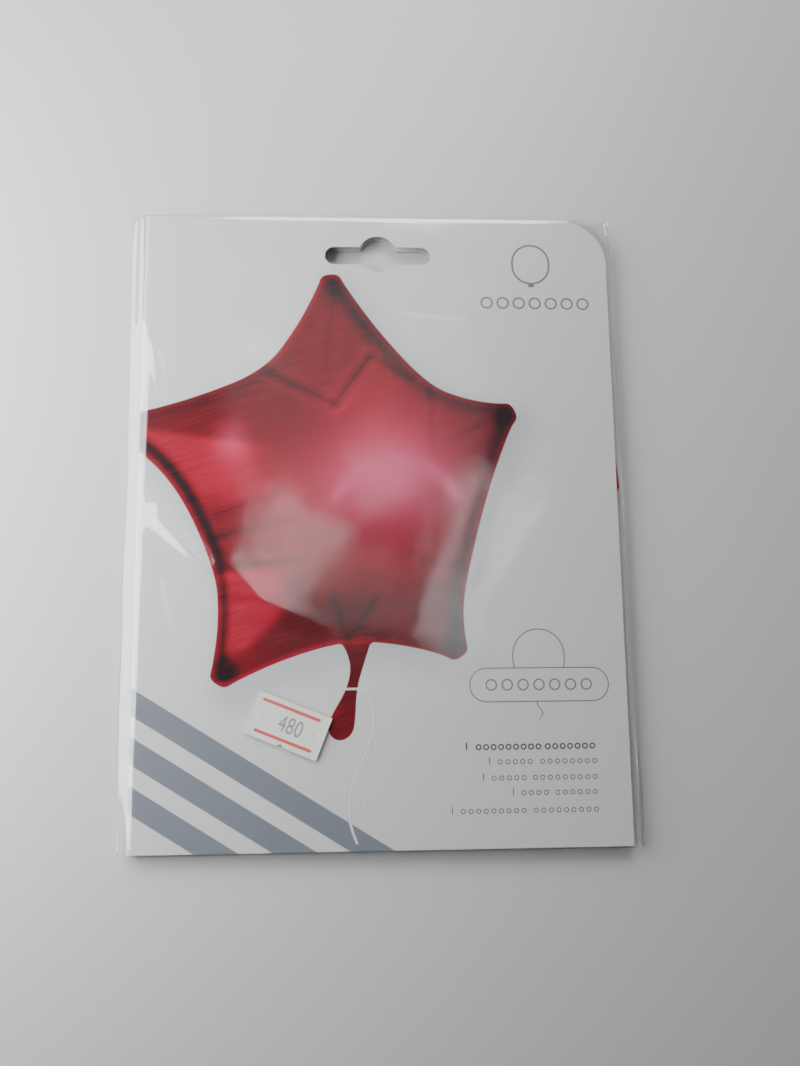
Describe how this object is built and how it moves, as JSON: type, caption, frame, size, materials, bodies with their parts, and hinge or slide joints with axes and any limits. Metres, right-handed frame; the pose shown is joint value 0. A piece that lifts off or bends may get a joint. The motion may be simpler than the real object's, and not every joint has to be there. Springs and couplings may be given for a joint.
{
  "type": "packaged foil balloon",
  "caption": "Flat retail pack: a folded printed card round a folded red foil balloon, in a clear film bag with a hang slot and a small price label.",
  "frame": {"origin": "centre of the bag's underside, on the surface that the pack lies on", "axes": "+X to the right across the front, +Y up the pack towards the hang slot, +Z out of the printed front"},
  "size_m": [0.146, 0.187, 0.0057],
  "materials": {
    "clear_film": "clear glossy film",
    "printed_board": "coated white board with printed colour fields",
    "red_foil": "red metallised film",
    "label_paper": "matt label paper with red stripes"
  },
  "bodies": {
    "root": {"bag": "clear_film", "card": "printed_board", "folded_balloon": "red_foil", "price_label": "label_paper"}
  },
  "joints": []
}
